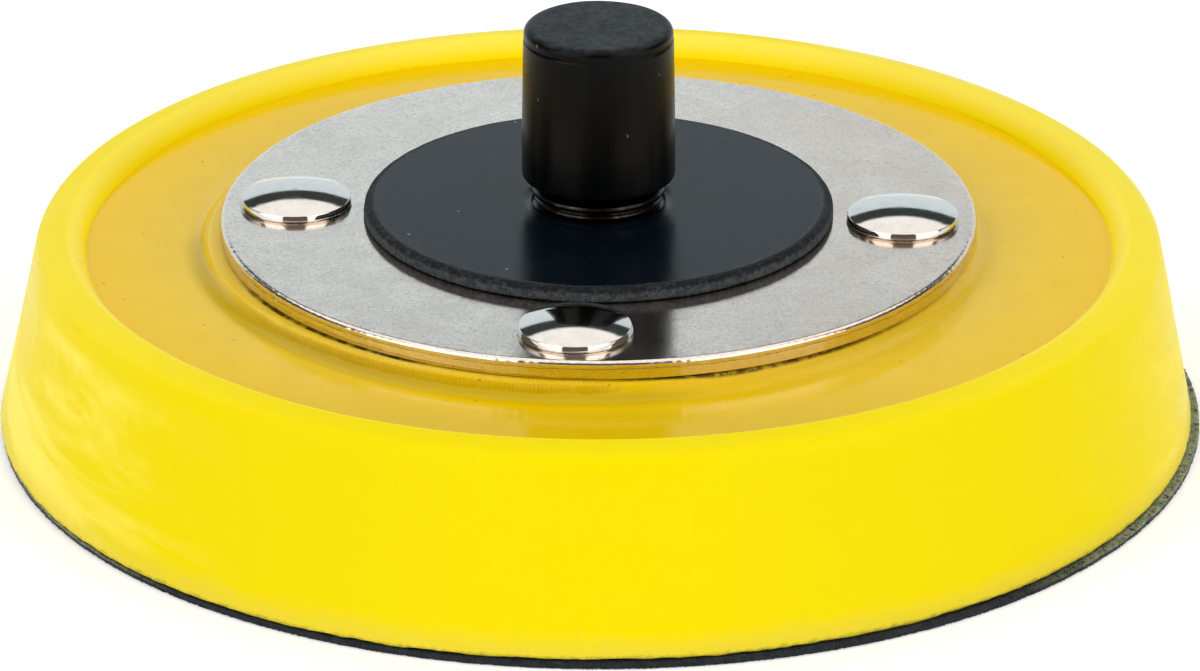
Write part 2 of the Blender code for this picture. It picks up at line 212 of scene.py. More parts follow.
def pipes(name, paths, radius, sides):
    """Many thin round rods in one mesh, each along its own points and tapered at its end."""
    verts, faces = [], []
    ring_angles = np.arange(sides) * TURN / sides
    circle = np.stack([np.cos(ring_angles), np.sin(ring_angles)], axis=1)
    for path in paths:
        path = np.asarray(path, float)
        along = np.gradient(path, axis=0)
        along /= np.linalg.norm(along, axis=1)[:, None]
        helper = np.array([0.31, 0.87, 0.38])
        first = len(verts)
        for index, (point, direction) in enumerate(zip(path, along)):
            side = np.cross(direction, helper)
            side /= np.linalg.norm(side)
            other = np.cross(direction, side)
            here = radius * (0.55 if index == len(path) - 1 else 1.0)
            for u, v in circle:
                verts.append(point + here * (u * side + v * other))
        for index in range(len(path) - 1):
            base = first + index * sides
            for k in range(sides):
                after = (k + 1) % sides
                faces.append((base + k, base + after, base + sides + after, base + sides + k))
        faces.append(tuple(range(first + sides - 1, first - 1, -1)))
        last = first + (len(path) - 1) * sides
        faces.append(tuple(range(last, last + sides)))
    return mesh_object(name, verts, faces, 60.0)


# ---- materials

class Tree:
    """Adds nodes to a shader's node tree. A method gives back the output of what it adds."""

    def __init__(self, tree, place):
        self.nodes, self.links = tree.nodes, tree.links
        self.place = self.add("TexCoord", place)

    def put(self, socket, value):
        """Sets a node's input to a number or a colour, or links another node's output to it."""
        if isinstance(value, bpy.types.NodeSocket):
            self.links.new(value, socket)
        elif isinstance(value, (tuple, list)) and len(value) == 3 and socket.type == "RGBA":
            socket.default_value = (*value, 1.0)
        else:
            socket.default_value = value

    def add(self, kind, output, inputs=None, **settings):
        """Adds a node with those settings and inputs, and gives back one of its outputs."""
        node = self.nodes.new("ShaderNode" + kind)
        for name, value in settings.items():
            setattr(node, name, value)
        for name, value in (inputs or {}).items():
            self.put(node.inputs[name], value)
        return node.outputs[output]

    def math(self, operation, a, b=0.0):
        """The result of one Math node."""
        return self.add("Math", 0, {0: a, 1: b}, operation=operation)

    def times(self, a, b):
        """The product of two numbers."""
        return self.math("MULTIPLY", a, b)

    def along(self, axis):
        """The place's coordinate on one axis."""
        return self.add("SeparateXYZ", axis, {0: self.place})

    def azimuth(self):
        """The place's direction from the Z axis in degrees: 0 at the front, 90 at the right."""
        back = self.times(self.along("Y"), -1.0)
        return self.math("DEGREES", self.math("ARCTAN2", self.along("X"), back))

    def spread(self, value, low, high, to_low=0.0, to_high=1.0):
        """Maps low..high smoothly to to_low..to_high, and holds it there beyond."""
        inputs = {"Value": value, "From Min": low, "From Max": high}
        inputs.update({"To Min": to_low, "To Max": to_high})
        return self.add("MapRange", "Result", inputs, interpolation_type="SMOOTHSTEP")

    def blend(self, share, first, second):
        """The first colour where share is 0 and the second where it is 1."""
        inputs = {"Factor": share, "A": first, "B": second}
        return self.add("Mix", "Result", inputs, data_type="RGBA")


class Surface(Tree):
    """Builds one Principled material. Its textures read the piece's own place, in millimetres."""

    def __init__(self, name, **values):
        self.material = bpy.data.materials.new(name)
        self.material.use_nodes = True
        super().__init__(self.material.node_tree, "Object")
        self.place = self.stretched((1 / MM, 1 / MM, 1 / MM))  # from metres
        self.shader = self.nodes["Principled BSDF"]
        for key, value in values.items():
            self.shader.inputs[key.replace("_", " ")].default_value = value

    def vector(self, operation, point, other=(0.0, 0.0, 0.0), output="Vector"):
        """The result of one Vector Math node."""
        return self.add("VectorMath", output, {0: point, 1: other}, operation=operation)

    def stretched(self, stretch):
        """The place with each coordinate scaled on its own."""
        return self.vector("MULTIPLY", self.place, stretch)

    def radius(self, middle=0.0):
        """The place's distance in millimetres from an upright axis, at X = middle."""
        beside = self.vector("SUBTRACT", self.stretched((1.0, 1.0, 0.0)), (middle, 0.0, 0.0))
        return self.vector("LENGTH", beside, output="Value")

    def girth(self, round_scale, height_scale, slope):
        """A place for streaks that run round the piece and climb by slope per degree."""
        azimuth = self.azimuth()
        climb = self.math("ADD", self.along("Z"), self.times(azimuth, slope))
        inputs = {"X": self.times(azimuth, round_scale), "Y": self.times(climb, height_scale)}
        return self.add("CombineXYZ", 0, inputs)

    def cloud(self, scale, detail=3.0, rough=0.55, twist=0.0, stretch=None, seed=0.0, place=None):
        """Noise from 0 to 1, at that many waves per millimetre."""
        place = place or (self.stretched(stretch) if stretch else self.place)
        inputs = {"Vector": place, "W": seed, "Scale": scale}
        inputs.update({"Detail": detail, "Roughness": rough, "Distortion": twist})
        return self.add("TexNoise", 0, inputs, noise_dimensions="4D")

    def cells(self, scale, stretch=None):
        """Distance to the nearest of scattered points."""
        place = self.stretched(stretch) if stretch else self.place
        return self.add("TexVoronoi", "Distance", {"Vector": place, "Scale": scale})

    def finish(self, colour, rough, *reliefs):
        """Sets the looks, with bumps of (height from 0 to 1, depth in millimetres)."""
        bump = {"Strength": 1.0}
        for height, depth in reliefs:
            bump.update({"Height": height, "Distance": depth * MM})
            bump["Normal"] = self.add("Bump", "Normal", bump)
        values = {"Base Color": colour, "Roughness": rough, "Normal": bump["Normal"]}
        for name, value in values.items():
            self.put(self.shader.inputs[name], value)
        return self.material


def yellow_skin(base_level, rim_level):
    """The smooth skin of the foam moulding: pale streaks of painted sheen at the sides, a painted
    reflection on the crest, painted light on the inner wall, and a foot darkened by painted shade and a
    glue line.
    """
    look = Surface("yellow_foam_skin", IOR=FOAM_IOR)
    streaks = look.cloud(1.0, 6.0, 0.6, 0.5, seed=5.0, place=look.girth(0.022, 0.17, 0.045))
    grain = look.cloud(3.0, 3.0, 0.6, seed=2.0)
    left = look.spread(look.along("X"), -37.0, -20.0, 1.0, 0.0)
    right = look.spread(look.along("X"), 31.0, 37.0, 0.0, 0.7)
    side = look.math("MAXIMUM", left, right)
    shoulder = look.spread(look.along("Z"), rim_level - 2.4, rim_level - 1.4, 0.0, 0.9)
    # Painted sheen: the left and right sides turn pale in streaks, except up at the shoulder.
    streaky_sheen = look.times(look.spread(streaks, 0.46, 0.60), side)
    streaky_sheen = look.times(streaky_sheen, look.math("SUBTRACT", 1.0, shoulder))
    # Painted sheen: the outermost flanks on both sides are a little paler.
    flank_sheen = look.times(look.spread(look.math("ABSOLUTE", look.along("X")), 33.5, 37.3), 0.13)
    # Painted reflection of the white studio along the rim's crest, strongest at its inner lip and left out
    # at the front.
    back = look.spread(look.along("Y"), -33.0, -12.0, 0.0, 0.24)
    roll = look.math("ADD", look.spread(look.radius(), 32.5, 33.3, 0.4, 0.0), back)
    crest_reflection = look.times(look.spread(look.along("Z"), rim_level - 1.2, rim_level - 0.1), roll)
    # All the painted sheen and the painted reflection together, laid on below as a pale yellow.
    pale = look.math("MAXIMUM", look.math("MAXIMUM", streaky_sheen, flank_sheen), crest_reflection)
    # Painted light: the rim's inner wall gets a brighter yellow than the outer side, against the shade
    # that falls on it.
    inner_wall_light = look.spread(look.radius(), 32.2, 33.2, 0.95, 0.0)
    yellow = look.blend(inner_wall_light, (0.835, 0.676, 0.0), (1.0, 0.80, 0.0))
    yellow = look.blend(pale, yellow, (0.97, 0.81, 0.13))
    # Painted shade and painted reflection of the dark facing: the yellow turns a dull olive towards the
    # foot, along a ragged line.
    foot = look.math("ADD", look.along("Z"), look.times(look.cloud(0.45, 4.0, 0.65, seed=3.0), -1.6))
    painted_light_band = look.spread(foot, base_level - 0.7, base_level + 0.9, 0.7, 0.0)
    yellow = look.blend(painted_light_band, yellow, (0.76, 0.61, 0.05))
    # The bottom edge turns dark olive: partly a glue line, partly painted shade.
    edge = look.math("ADD", look.along("Z"), look.times(look.cloud(2.0, 4.0, 0.7, seed=3.0), -0.7))
    foot_shade_and_glue = look.spread(edge, base_level - 0.5, base_level - 0.12, 1.0, 0.0)
    colour = look.blend(look.times(foot_shade_and_glue, 0.8), yellow, (0.25, 0.24, 0.02))
    rough = look.spread(streaks, 0.36, 0.64, 0.24, 0.5)
    return look.finish(colour, rough, (look.cloud(0.5, 3.0, 0.5, seed=5.0), 0.005), (grain, 0.0007))


def amber_plate(boss_radius, hub_radius, boss_level):
    """Glossy amber plastic: fine orange peel, dust, painted shade in the crack round the hub plate and at
    the boss's foot, and painted reflections.
    """
    look = Surface("amber_backing_plastic", IOR=AMBER_IOR)
    mottle = look.cloud(0.35, 4.0, 0.6, seed=1.0)
    amber = look.blend(look.spread(mottle, 0.35, 0.7), (0.77, 0.50, 0.0), (0.80, 0.53, 0.004))
    # Painted reflection: towards the rim the plastic is a plainer, deeper orange, as it mirrors the yellow
    # rim there rather than the white studio.
    amber = look.blend(look.spread(look.radius(), 28.0, 32.0), amber, (0.80, 0.52, 0.0))
    dust = look.spread(look.cloud(5.5, 4.0, 0.7, seed=12.0), 0.52, 0.68, 0.0, 0.16)
    amber = look.blend(dust, amber, (0.45, 0.30, 0.02))
    specks = look.times(look.spread(look.cells(0.5), 0.03, 0.07, 1.0, 0.0), 0.55)
    amber = look.blend(specks, amber, (0.16, 0.1, 0.02))
    outwards = look.math("SUBTRACT", look.radius(BOSS_DRIFT), boss_radius)
    # Painted reflection of the white studio: a paler, greyish band just outside the boss, except in a
    # strip through the middle front and back.
    beside = look.spread(look.math("ABSOLUTE", look.along("X")), 6.0, 16.0)
    painted_light_band = look.times(look.spread(outwards, 0.2, 6.0, 0.24, 0.0), beside)
    amber = look.blend(painted_light_band, amber, (0.62, 0.50, 0.13))
    azimuth = look.azimuth()
    ahead = look.spread(look.math("ABSOLUTE", look.math("ADD", azimuth, 40.0)), 44.0, 64.0, 0.6, 0.0)
    foot = look.times(look.spread(outwards, 0.0, 0.4), look.spread(outwards, 0.5, 1.7, 1.0, 0.0))
    shade = look.times(foot, ahead)
    amber = look.blend(shade, amber, (0.36, 0.25, 0.0))
    # Painted reflection: the floor is darker towards the front, where it mirrors the dark cap rather than
    # the white studio.
    front = look.spread(look.along("Y"), -29.0, -20.0, 0.55, 0.0)
    amber = look.blend(front, amber, (0.62, 0.42, 0.0))
    crack = look.math("SUBTRACT", look.radius(), hub_radius)
    front_left = look.spread(azimuth, -31.0, -24.0, 1.0, 0.0)
    front_left = look.times(look.spread(azimuth, -72.0, -60.0), front_left)
    front_right = look.spread(azimuth, 35.0, 60.0, 1.0, 0.3)
    front_right = look.times(look.spread(azimuth, -4.0, 12.0), front_right)
    # Painted shade: a dark, broken line in the crack under the hub plate's edge, strongest at the front
    # left and the front right.
    crevice_shade = look.spread(look.cloud(1.4, 5.0, 0.75, seed=9.0), 0.36, 0.56, 0.45, 1.0)
    crevice_shade = look.times(crevice_shade, look.math("MAXIMUM", look.math("MAXIMUM", front_left, front_right), 0.1))
    crevice_shade = look.times(look.spread(crack, 0.06, 0.26, 1.0, 0.0), crevice_shade)
    crevice_shade = look.times(look.spread(look.along("Z"), boss_level - 0.32, boss_level - 0.14), crevice_shade)
    colour = look.blend(crevice_shade, amber, (0.085, 0.052, 0.004))
    rough = look.spread(look.cloud(0.8, 4.0, 0.6, seed=6.0), 0.3, 0.7, 0.10, 0.17)
    peel = look.cloud(2.6, 3.0, 0.5, seed=2.0)
    warp = look.cloud(0.3, 1.0, 0.4, seed=4.0)
    return look.finish(colour, rough, (peel, 0.0016), (warp, 0.006))


def tumbled_steel(name, bright, dull):
    """Nickel-plated plate from a tumbling drum: fine grey frost, pits and short random scratches."""
    look = Surface(name, Metallic=1.0)
    clouds = look.cloud(0.22, 4.0, 0.6, 0.3, seed=1.0)
    frost = look.cloud(5.0, 6.0, 0.8, seed=3.0)
    pits = look.spread(look.cells(1.9), 0.05, 0.15, 1.0, 0.0)
    scratch = look.spread(look.cloud(0.9, 2.0, 0.4, 5.0, seed=8.0), 0.495, 0.505)
    # Painted shade: the plate turns darker and warmer towards the right, in clouds.
    wear_and_painted_shade = look.times(look.spread(look.along("X"), -4.0, 22.0), look.spread(clouds, 0.3, 0.6, 0.6, 1.0))
    tone = look.blend(look.spread(clouds, 0.3, 0.7), bright, dull)
    tone = look.blend(look.times(wear_and_painted_shade, 0.8), tone, (0.96 * dull[0], 0.89 * dull[1], 0.82 * dull[2]))
    tone = look.blend(look.spread(frost, 0.46, 0.62, 0.0, 0.66), tone, tuple(0.74 * c for c in dull))
    patches = look.spread(look.cloud(0.7, 5.0, 0.7, 1.0, seed=11.0), 0.42, 0.62, 0.0, 0.4)
    tone = look.blend(patches, tone, tuple(0.8 * c for c in dull))
    line = look.math("ABSOLUTE", look.math("SUBTRACT", look.cloud(0.6, 3.0, 0.6, 1.5, seed=13.0), 0.5))
    sparse = look.spread(look.cloud(0.4, 2.0, 0.5, seed=14.0), 0.52, 0.6, 0.0, 0.5)
    marks = look.times(look.spread(line, 0.002, 0.01, 1.0, 0.0), sparse)
    tone = look.blend(marks, tone, (0.33, 0.32, 0.3))
    colour = look.blend(look.times(pits, 0.5), tone, (0.25, 0.24, 0.22))
    frosted = look.spread(frost, 0.45, 0.7, 0.0, 0.05)
    rough = look.math("ADD", look.spread(clouds, 0.3, 0.7, 0.13, 0.16), frosted)
    return look.finish(colour, rough, (frost, 0.0013), (scratch, 0.0003), (pits, -0.0015))


def polished_nickel():
    """Bright rivet plating, with the faint waviness that pulls a reflection's edge about."""
    look = Surface("polished_rivet_nickel", Metallic=1.0)
    haze = look.cloud(1.1, 4.0, 0.6, 0.5, seed=2.0)
    colour = look.blend(look.spread(haze, 0.35, 0.75), (0.70, 0.665, 0.625), (0.63, 0.59, 0.545))
    rough = look.spread(look.cloud(2.5, 4.0, 0.7, 0.8, seed=5.0), 0.4, 0.75, 0.05, 0.12)
    waves = look.cloud(0.8, 2.0, 0.4, seed=9.0)
    return look.finish(colour, rough, (waves, 0.0035), (look.cloud(7.0, 3.0, 0.6), 0.0004))


def dark_stud_steel():
    """Oil-blackened steel with the lathe's fine rings round it."""
    look = Surface("blackened_stud_steel", Metallic=1.0)
    rings = look.cloud(0.5, 4.0, 0.7, 0.0, (1.0, 1.0, 34.0), 2.0)
    # Lighter worn patches at random; no painted shade here.
    wear_and_painted_shade = look.spread(look.cloud(1.2, 4.0, 0.65, 0.6, seed=4.0), 0.5, 0.72)
    colour = look.blend(wear_and_painted_shade, (0.020, 0.018, 0.017), (0.085, 0.066, 0.052))
    rough = look.spread(rings, 0.3, 0.7, 0.14, 0.3)
    return look.finish(colour, rough, (rings, 0.003))


def black_rubber(face_radius):
    """Calendered rubber sheet: fine leathery grain on top, a torn grainy edge, lint and bloom."""
    look = Surface("black_washer_rubber", IOR=SEALED_IOR)
    torn = look.cloud(3.8, 6.0, 0.85, 0.3, seed=7.0)
    outwards = look.math("SUBTRACT", look.radius(), face_radius)
    ragged_out = look.math("ADD", outwards, look.times(torn, 1.1))
    edge = look.spread(ragged_out, 0.35, 0.75)
    grain = look.cloud(3.0, 6.0, 0.75, 0.2, seed=1.0)
    bloom = look.spread(look.cloud(0.22, 4.0, 0.6, 0.5, seed=3.0), 0.35, 0.75)
    lint = look.spread(look.cells(0.34), 0.02, 0.045, 1.0, 0.0)
    base = look.blend(bloom, (0.0012, 0.0034, 0.0062), (0.0024, 0.0058, 0.0092))
    base = look.blend(look.spread(grain, 0.5, 0.72, 0.0, 0.5), base, (0.010, 0.014, 0.018))
    dark = look.blend(look.spread(torn, 0.45, 0.62), (0.0015, 0.003, 0.004), (0.032, 0.039, 0.042))
    light = look.blend(look.spread(torn, 0.40, 0.6), (0.020, 0.024, 0.027), (0.070, 0.078, 0.085))
    low = look.spread(outwards, 0.42, 0.54)
    base = look.blend(edge, base, look.blend(low, dark, light))
    colour = look.blend(look.times(lint, 0.6), base, (0.3, 0.32, 0.34))
    rough = look.spread(look.cloud(1.4, 4.0, 0.6, seed=5.0), 0.3, 0.7, 0.15, 0.22)
    rough = look.math("ADD", rough, look.times(edge, 0.5))
    return look.finish(colour, rough, (grain, 0.009), (look.times(torn, edge), 0.06))


def cap_polyethylene(top_level):
    """Dip-moulded black plastic: soft vertical draw marks, nicks, lint, and a rougher crown painted a
    lighter grey-blue as a highlight.
    """
    look = Surface("black_cap_plastic", IOR=CAP_IOR)
    draw = look.cloud(0.55, 4.0, 0.6, 0.3, (1.0, 1.0, 0.10), 2.0)
    crown = look.spread(look.along("Z"), top_level - 0.3, top_level - 0.02)
    nicks = look.spread(look.cells(0.8, stretch=(1.0, 1.0, 0.5)), 0.03, 0.075, 1.0, 0.0)
    nicks = look.times(nicks, look.spread(look.cloud(0.5, 3.0, 0.5, seed=6.0), 0.42, 0.56))
    lint = look.spread(look.cloud(0.75, 2.0, 0.4, 6.0, (1.0, 1.0, 0.8), 11.0), 0.497, 0.5)
    lint = look.times(look.times(lint, look.math("SUBTRACT", 1.0, lint)), 4.0)
    patch = look.spread(look.cloud(0.33, 2.0, 0.5, seed=13.0), 0.6, 0.68)
    base = look.blend(look.spread(draw, 0.45, 0.7), (0.0006, 0.0010, 0.0014), (0.0036, 0.0042, 0.0044))
    mottled = look.spread(look.cloud(1.7, 6.0, 0.82, 0.4, seed=3.0), 0.42, 0.62)
    # Painted highlight: the top face is a lighter, mottled grey-blue.
    base = look.blend(look.times(crown, mottled), base, (0.022, 0.029, 0.035))
    base = look.blend(look.times(nicks, 0.7), base, (0.16, 0.17, 0.17))
    colour = look.blend(look.times(lint, look.times(patch, 0.35)), base, (0.3, 0.31, 0.3))
    rough = look.math("ADD", look.spread(draw, 0.3, 0.7, 0.24, 0.34), look.times(crown, 0.08))
    grain = look.cloud(5.0, 4.0, 0.65, seed=8.0)
    return look.finish(colour, rough, (draw, 0.006), (grain, 0.007), (nicks, -0.01))


def hook_tape(top_level):
    """Black nylon weave; its glued side shows olive past the foam at the left and right: partly glue
    stain, partly painted sheen.
    """
    look = Surface("hook_tape_nylon", IOR=SEALED_IOR, Sheen_Weight=0.1, Sheen_Roughness=0.4)
    weave = []
    for axis, scale in (("X", 1.6), ("Y", 1.9)):
        inputs = {"Vector": look.place, "Scale": scale, "Distortion": 0.6}
        weave.append(look.add("TexWave", "Fac", inputs, bands_direction=axis))
    tone = look.cloud(2.6, 4.0, 0.65, 0.4, seed=1.0)
    black = look.blend(look.spread(tone, 0.4, 0.75), (0.010, 0.012, 0.018), (0.026, 0.031, 0.034))
    glue_stain_and_sheen = look.blend(look.spread(tone, 0.38, 0.62), (0.10, 0.13, 0.075), (0.30, 0.33, 0.18))
    # Olive-grey on the tape's top edge at the left and right: partly glue stain, partly painted sheen.
    shown = look.spread(look.math("ABSOLUTE", look.along("X")), 24.0, 34.0)
    stain_and_sheen_share = look.times(shown, look.spread(look.along("Z"), top_level - 0.25, top_level - 0.05))
    colour = look.blend(stain_and_sheen_share, black, glue_stain_and_sheen)
    rough = look.spread(tone, 0.3, 0.7, 0.45, 0.7)
    threads = look.math("MAXIMUM", *weave)
    return look.finish(colour, rough, (threads, 0.03), (look.cloud(6.0, 3.0, 0.6), 0.01))


def hook_fibre():
    """Black nylon filament, a little glossy."""
    look = Surface("hook_filament_nylon", IOR=SEALED_IOR)
    tone = look.cloud(0.8, 3.0, 0.5, seed=2.0)
    colour = look.blend(look.spread(tone, 0.4, 0.7), (0.010, 0.012, 0.017), (0.03, 0.038, 0.032))
    rough = look.spread(tone, 0.3, 0.7, 0.35, 0.5)
    return look.finish(colour, rough, (look.cloud(20.0, 2.0, 0.5), 0.002))


def olive_glue():
    """Contact adhesive: dark olive, slightly glossy, with bubbles and drawn strings."""
    look = Surface("contact_adhesive", IOR=SEALED_IOR)
    tone = look.cloud(1.2, 4.0, 0.6, 0.4, seed=1.0)
    colour = look.blend(look.spread(tone, 0.38, 0.62), (0.10, 0.10, 0.02), (0.03, 0.035, 0.015))
    rough = look.spread(tone, 0.3, 0.7, 0.25, 0.45)
    return look.finish(colour, rough, (look.cloud(3.0, 3.0, 0.6), 0.02))


# ---- pieces

FACING_OFFSET = (0.15, -0.02)  # the facing is glued on a little off centre
RECESS_FLOOR = 11.45  # the level of the backing plate's floor, round its boss
BOSS_RADIUS = 23.98
BOSS_DRIFT = -0.35  # the boss shows more on one side of the hub plate than on the other
BOSS_RECESS = 0.42  # and on the right it stands back under the hub plate's edge
STUD_BORE = 4.85  # the radius of the hub plate's and the washer's hole for the stud's shoulder
RIVET_BORE = 2.05  # the radius of the plates' holes for the rivets' shanks
SHOULDER_TOP = 14.2  # the level of the top of the stud's shoulder


def moved(obj, x, y):
    """Shifts the mesh itself, in millimetres, so the object stays at the origin."""
    for vertex in obj.data.vertices:
        vertex.co.x += x * MM
        vertex.co.y += y * MM


def hook_paths(random, edge, low, ground):
    """The centre line of every hook. The rows are staggered and face to and fro."""
    hook = np.array([
        (0.0, 0.0, 1.0), (0.02, 0.0, 0.55), (0.10, 0.0, 0.20),
        (0.27, 0.0, 0.13), (0.40, 0.0, 0.30), (0.41, 0.0, 0.52),
    ])
    row_pitch, hook_pitch = 1.15, 1.3
    rows = int(edge / row_pitch)
    paths = []
    for row in range(-rows, rows + 1):
        for place in range(-rows, rows + 1):
            x = place * hook_pitch + (row % 2) * hook_pitch / 2 + random.uniform(-0.12, 0.12)
            y = row * row_pitch + random.uniform(-0.1, 0.1)
            facing = random.uniform(-0.35, 0.35) + (math.pi if row % 2 else 0.0)
            if math.hypot(x, y) > edge - 1.1:
                continue
            c, s = math.cos(facing), math.sin(facing)
            path = hook.copy()
            path[:, 2] = low + 0.03 + path[:, 2] * (ground - low + 0.02)
            path[:, 0], path[:, 1] = x + hook[:, 0] * c, y + hook[:, 0] * s
            paths.append(path)
    return paths


def filament_paths(random, edge, low, high):
    """The centre line of every cut filament round the tape's edge."""
    count = 5200
    paths = []
    for _ in range(count):
        angle = random.uniform(0, TURN)
        start = random.uniform(low + 0.04, high + (0.14 if random.random() < 0.25 else 0.01))
        reach = random.uniform(-0.04, 0.035)
        lean = random.uniform(-0.012, 0.012)
        fall = random.uniform(0.0, 0.3)
        path = []
        for step in range(4):
            share = step / 3
            r = edge - 0.25 + (0.25 + reach) * share
            a = angle + lean * share * share
            path.append((r * math.cos(a), r * math.sin(a), max(low + 0.03, start - fall * share * share)))
        paths.append(path)
    return paths


def make_facing():
    """The hook tape: a woven ground, rows of hooks below it and cut filaments round its edge."""
    radius, low, high = node_span("hook_facing")
    ground = high - 0.2
    edge = radius - 0.05

    def frayed(x, y, r, z):
        if r < edge - 0.6:
            return 0.0, 0.0
        out = 0.06 * wave(x, y, 0.0, 0.9, 1) + 0.05 * wave(x, y, z, 3.5, 2)
        return out, 0.03 * wave(x, y, z, 1.7, 3)

    corners = [
        (0.0, ground, 0.0),
        (edge - 0.8, ground, 0.0),
        (edge - 0.55, low + 0.02, 0.05),
        (edge, low + 0.02, 0.06),
        (edge, high, 0.07),
        (0.0, high, 0.0),
    ]
    tape = lathe("facing_tape", outline(corners, 2.5, 3), 720, frayed)
    tape.data.materials.append(hook_tape(high))
    moved(tape, *FACING_OFFSET)
    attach(tape, "pad")
    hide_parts("hook_facing")

    random = np.random.default_rng(7)
    hooks = pipes("facing_hooks", hook_paths(random, edge, low, ground), 0.05, 4)
    fringe = pipes("facing_fringe", filament_paths(random, edge, low, high), 0.03, 3)
    fibre = hook_fibre()
    for piece in (hooks, fringe):
        piece.data.materials.append(fibre)
        moved(piece, *FACING_OFFSET)
        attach(piece, "pad")


def make_glue():
    """The glue film, squeezed out unevenly round its edge."""
    radius, low, high = node_span("facing_adhesive")

    def squeezed(x, y, r, z):
        if r < radius - 0.3:
            return 0.0, 0.0
        return 0.1 * wave(x, y, 0.0, 0.5, 4) + 0.06 * wave(x, y, z, 2.2, 5), 0.0

    corners = [(0.0, low, 0.0), (radius, low, 0.03), (radius, high, 0.03), (0.0, high, 0.0)]
    glue = lathe("glue_film", outline(corners, 3.0, 2), 480, squeezed)
    glue.data.materials.append(olive_glue())
    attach(glue, "pad")
    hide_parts("facing_adhesive")


def make_foam():
    """The foam moulding, with its rim, its undercut round the backing plate and a trimmed foot."""
    radius, low, high = node_span("foam_body")
    plate_radius, plate_low, _ = node_span("backing_plate")
    shoulder, inner, floor = 34.8, 31.95, RECESS_FLOOR
    gap = 0.05
    foot_drift = -0.16  # the foot was trimmed a little off centre

    def moulded(x, y, r, z):
        if r < inner - 0.5 or low + 0.02 < z < floor - 0.02 and r < plate_radius + 0.3:
            return 0.0, 0.0
        out = 0.035 * wave(x, y, z, 0.12, 6)
        up = 0.02 * wave(x, y, z, 0.1, 7) if z > floor + 0.3 else 0.0
        if r > plate_radius + 0.3:
            out += foot_drift * (x / r) * (high - z) / (high - low)
        if z < low + 0.7 and r > radius - 1.2:
            share = 1.0 - (z - low) / 0.7
            ragged = wave(x, y, 0.0, 0.8, 8) + 0.45 * wave(x, y, 0.0, 3.0, 9)
            up += share * (0.09 * ragged - 0.06)
            out += share * 0.05 * wave(x, y, 0.0, 2.0, 10)
        return out, up

    rolled = []
    for angle in quarter_turn(12):
        slope = 0.5 * math.sin(angle) + 0.5 * (1 - math.cos(angle))
        rolled.append((inner - 0.1 + 1.15 * (1 - slope), floor + 0.02 + 1.3 * math.cos(angle), 0.0))
    corners = [
        (0.0, low, 0.0),
        (radius - 0.45, low, 0.0),
        (radius, low - 0.06, 0.12),
        (shoulder, high - 0.28, 1.1),
        *rolled,
        (inner - 0.11, floor - 0.03, 0.0),
        (plate_radius + gap, floor - 0.03, 0.0),
        (plate_radius + gap, plate_low - gap, 0.0),
        (0.0, plate_low - gap, 0.0),
    ]
    foam = lathe("foam_moulding", outline(corners, 0.8, 10), 540, moulded)
    foam.data.materials.append(yellow_skin(low, high))
    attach(foam, "pad")
    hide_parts("foam_body")


def rivet_centres():
    """Each rivet's name and centre in millimetres."""
    centres = {}
    for name in sorted(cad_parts):
        if name.startswith("rivet_") and not name.startswith("rivet_washer"):
            low, high = node_box(name)
            centres[name] = ((low + high) / 2).to_2d()
    return centres


def rivet_holes(low, high, radius, tail_radius=None, tail_top=None):
    """Cutters for the four shanks, with a counterbore below where one is given."""
    cutters = []
    for centre in rivet_centres().values():
        profile = [(0.0, low), (radius, low), (radius, high), (0.0, high)]
        if tail_radius:
            profile[1:2] = [(tail_radius, low), (tail_radius, tail_top), (radius, tail_top)]
        cutter = lathe("rivet_hole", profile, 48)
        moved(cutter, *centre)
        cutters.append(cutter)
    return cutters


def make_backing():
    """The amber plate: a floor, a boss with a soft foot, and drilled and sunk holes."""
    radius, low, high = node_span("backing_plate")
    hub_radius, _, _ = node_span("hub_plate")
    boss, floor = BOSS_RADIUS, RECESS_FLOOR
    _, _, washer_high = node_span("rivet_washer_front")
    still, moving = 19.0, 22.5  # no shift inside the first radius, all of it past the second

    def cast(x, y, r, z):
        if z < floor - 0.1:
            return 0.0, 0.0
        up = 0.008 * wave(x, y, 0.0, 0.25, 11)
        out = 0.0
        if still < r < boss + 2.4:
            shift = boss_shift(x, y) + 0.04 * wave(x, y, z, 0.4, 14)
            out = ease((r - still) / (moving - still)) * shift
        return out, up

    corners = [
        (0.0, low, 0.0),
        (radius, low, 0.1),
        (radius, floor, 0.1),
        (boss + 0.45, floor, 1.2),
        (boss - 0.1, high, 0.4),
        (0.0, high, 0.0),
    ]
    plate = lathe("backing_moulding", outline(corners, 0.7, 9), 720, cast)
    tail_bore = 3.75
    drill(plate, rivet_holes(low - 1, high + 1, RIVET_BORE, tail_bore, washer_high + 0.05))
    stud_low, _ = node_box("threaded_stud")
    pocket_low, pocket_radius = stud_low.z - 0.05, 7.46
    pocket = lathe("pocket", [
        (0.0, pocket_low), (pocket_radius, pocket_low), (pocket_radius, high + 1), (0.0, high + 1),
    ], 6)
    pocket.data.transform(Matrix.Rotation(TURN / 12, 4, "Z"))
    drill(plate, [pocket])
    plastic = amber_plate(boss, hub_radius, high)
    plate.data.materials.append(plastic)
    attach(plate, "pad")
    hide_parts("backing_plate")
    make_knurl(plastic, boss, floor, high)


def boss_shift(x, y):
    """How far the boss's side stands out of its circle: out to the left, back on the right."""
    azimuth = azimuth_of(x, y)
    back = ease((azimuth - 2) / 26) * ease((178 - azimuth) / 40)  # on the right only
    return BOSS_DRIFT * math.sin(math.radians(azimuth)) - BOSS_RECESS * back


